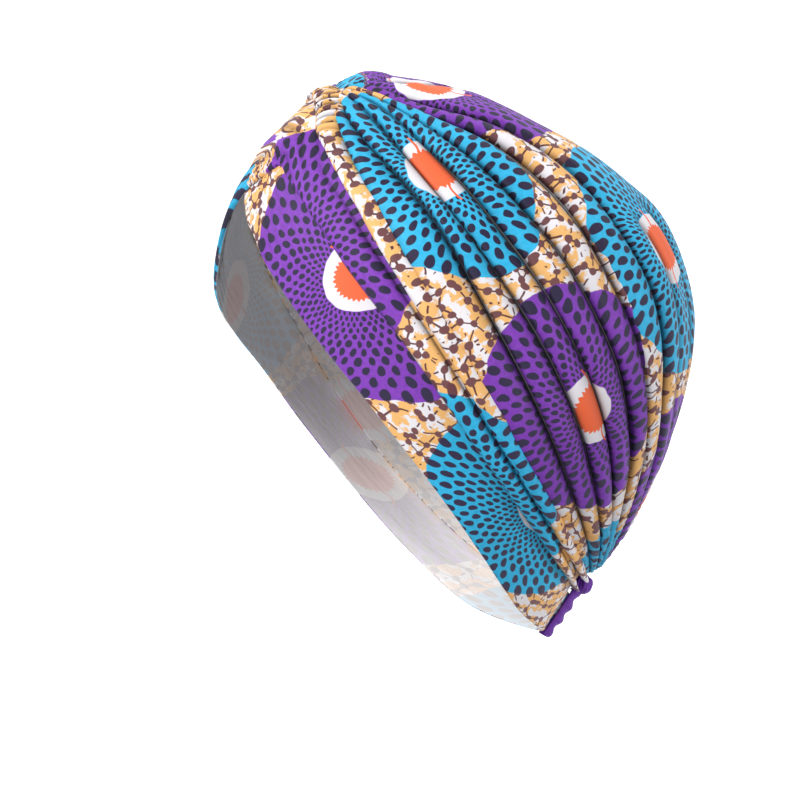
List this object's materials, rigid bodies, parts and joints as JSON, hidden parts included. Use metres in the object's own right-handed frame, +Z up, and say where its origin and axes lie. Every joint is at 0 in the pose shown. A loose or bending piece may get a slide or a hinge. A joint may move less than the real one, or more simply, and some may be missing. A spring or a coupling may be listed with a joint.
{
  "type": "knotted turban",
  "caption": "Sewn head wrap in its worn form: a pleated crown drawn together at the front and at the nape, framed by bands that cross over the forehead.",
  "frame": {"origin": "inside of the crown's top, where the wearer's head bears", "axes": "+Z up, -Y toward the wearer's face, +X toward the wearer's left side"},
  "size_m": [0.1896, 0.2299, 0.269],
  "materials": {
    "crown_cloth": "thin smooth stretch knit, printed with purple and teal dot medallions on white",
    "fold_cloth": "the same knit, where its white, ochre and brown ground shows",
    "over_band_cloth": "the same knit, folded double",
    "under_band_cloth": "the same knit, folded double",
    "seam_cloth": "the same knit in plain purple, gathered by stitches"
  },
  "bodies": {
    "root": {"crown": "crown_cloth", "rolled_fold": "fold_cloth", "over_band": "over_band_cloth", "under_band": "under_band_cloth", "nape_seam": "seam_cloth", "nape_tuft": "seam_cloth"}
  },
  "joints": []
}
